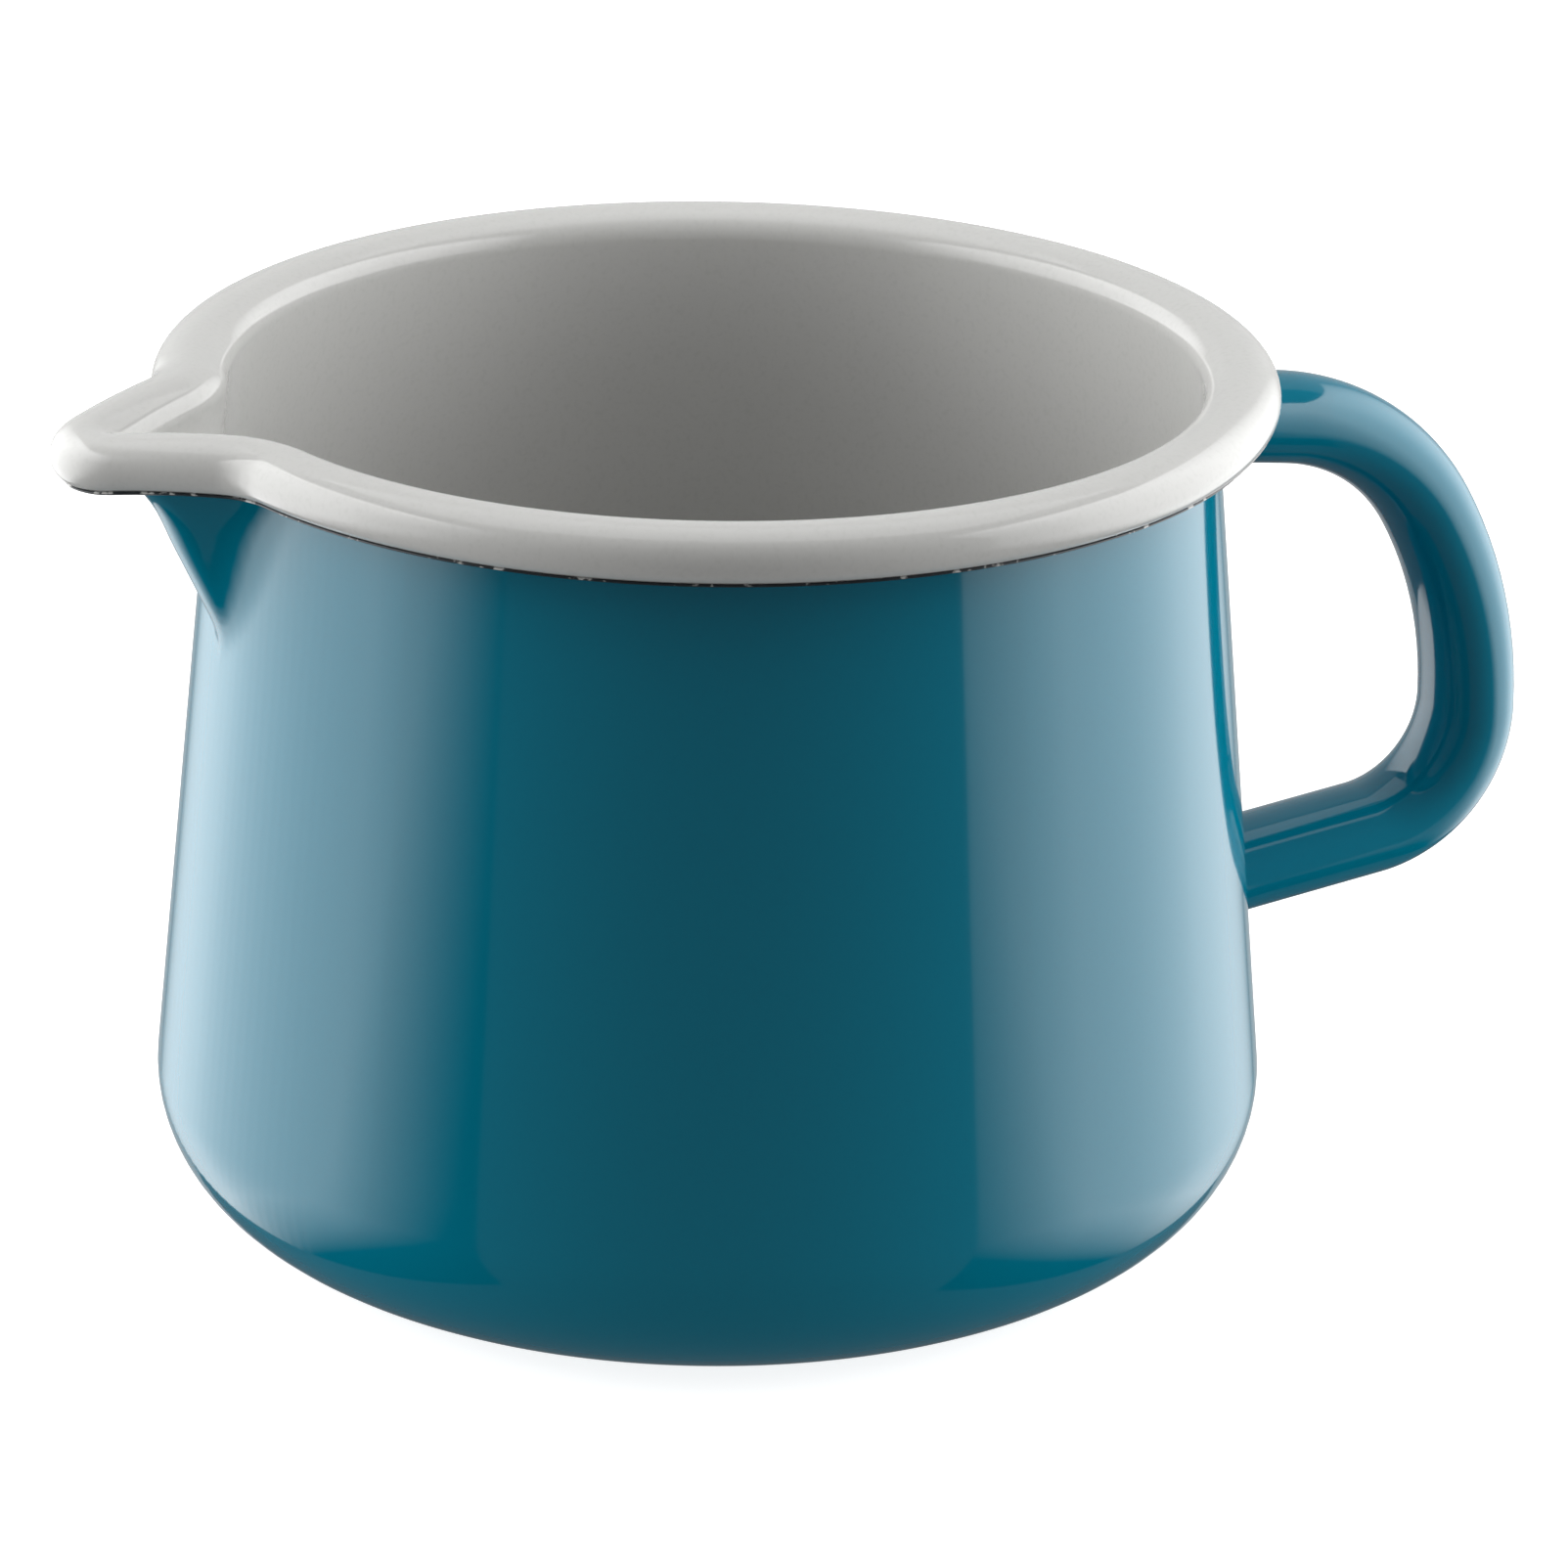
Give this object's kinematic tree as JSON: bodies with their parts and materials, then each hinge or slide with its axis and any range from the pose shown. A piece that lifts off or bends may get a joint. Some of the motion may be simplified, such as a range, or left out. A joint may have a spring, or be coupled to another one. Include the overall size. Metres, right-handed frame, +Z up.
{
  "type": "milk pan",
  "caption": "Enamelled steel milk pan with a leaning round wall, rolled rim, pressed pouring spout and hollow loop handle welded to its side",
  "frame": {"origin": "centre of the flat base, on the surface that the pan stands on", "axes": "+Z up, +X towards the handle, -X towards the spout"},
  "size_m": [0.1985, 0.1414, 0.1115],
  "materials": {
    "petrol_enamel": "glossy glass enamel",
    "grey_enamel": "glossy glass enamel",
    "ground_coat": "satin glass enamel",
    "sheet_steel": "bare cold rolled sheet under the enamel",
    "weld_metal": "bare weld under the enamel"
  },
  "bodies": {
    "root": {"steel_body": "sheet_steel", "lining_enamel": "grey_enamel", "body_enamel": "petrol_enamel", "ground_coat_line": "ground_coat", "handle_outer_half": "sheet_steel", "handle_inner_half": "sheet_steel", "handle_enamel": "petrol_enamel", "upper_weld": "weld_metal", "lower_weld": "weld_metal"}
  },
  "joints": []
}
